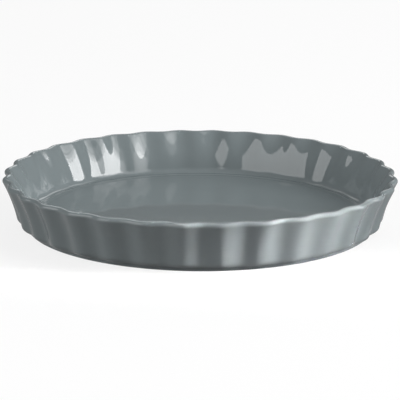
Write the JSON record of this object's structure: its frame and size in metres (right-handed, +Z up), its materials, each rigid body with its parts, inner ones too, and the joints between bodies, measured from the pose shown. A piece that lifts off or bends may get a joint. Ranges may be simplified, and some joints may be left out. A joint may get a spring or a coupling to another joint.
{
  "type": "pie dish",
  "caption": "Shallow round ceramic baking dish with a fluted flared wall, a rounded lip, a flat glazed floor and a low bare foot ring.",
  "frame": {"origin": "on the table, under the centre of the dish", "axes": "+Z up along the dish's own axis, from the foot ring to the lip; a flute crest lies on +X and on +Y"},
  "size_m": [0.32, 0.32, 0.042],
  "materials": {
    "clay": "bare fired clay, matte",
    "glaze": "glossy grey glaze"
  },
  "bodies": {
    "root": {"clay_body": "clay", "inside_glaze": "glaze", "outside_glaze": "glaze", "underside_glaze": "glaze"}
  },
  "joints": []
}
